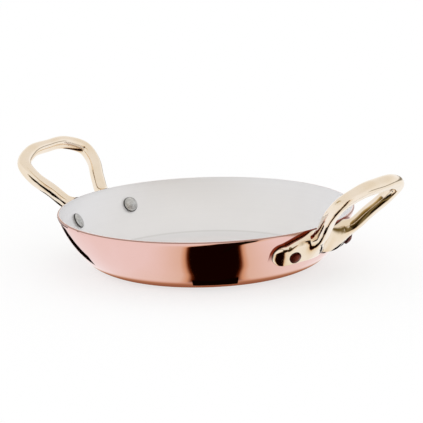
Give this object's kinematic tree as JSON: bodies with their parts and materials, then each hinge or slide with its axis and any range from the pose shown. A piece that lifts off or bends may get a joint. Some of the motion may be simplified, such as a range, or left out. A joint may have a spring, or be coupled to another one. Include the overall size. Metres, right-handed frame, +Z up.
{
  "type": "serving pan",
  "caption": "Round shallow copper serving pan with flared wall, steel lining and opposed cast brass loop handles riveted to the wall, for cooking and bringing food to the table.",
  "frame": {"origin": "centre of the flat underside of the base", "axes": "+Z up out of the pan, +X towards the right handle, the handles lie on the X axis"},
  "size_m": [0.2848, 0.2, 0.0725],
  "materials": {
    "copper": "polished copper sheet",
    "lining_steel": "satin stainless steel",
    "brass": "polished cast brass",
    "rivet_copper": "darkened copper",
    "cap_steel": "pressed stainless steel"
  },
  "bodies": {
    "root": {"pan_shell": "copper", "steel_lining": "lining_steel", "handle_right": "brass", "handle_left": "brass", "rivet_right_front": "rivet_copper", "rivet_right_back": "rivet_copper", "rivet_left_front": "rivet_copper", "rivet_left_back": "rivet_copper", "rivet_cap_right_front": "cap_steel", "rivet_cap_right_back": "cap_steel", "rivet_cap_left_front": "cap_steel", "rivet_cap_left_back": "cap_steel"}
  },
  "joints": []
}
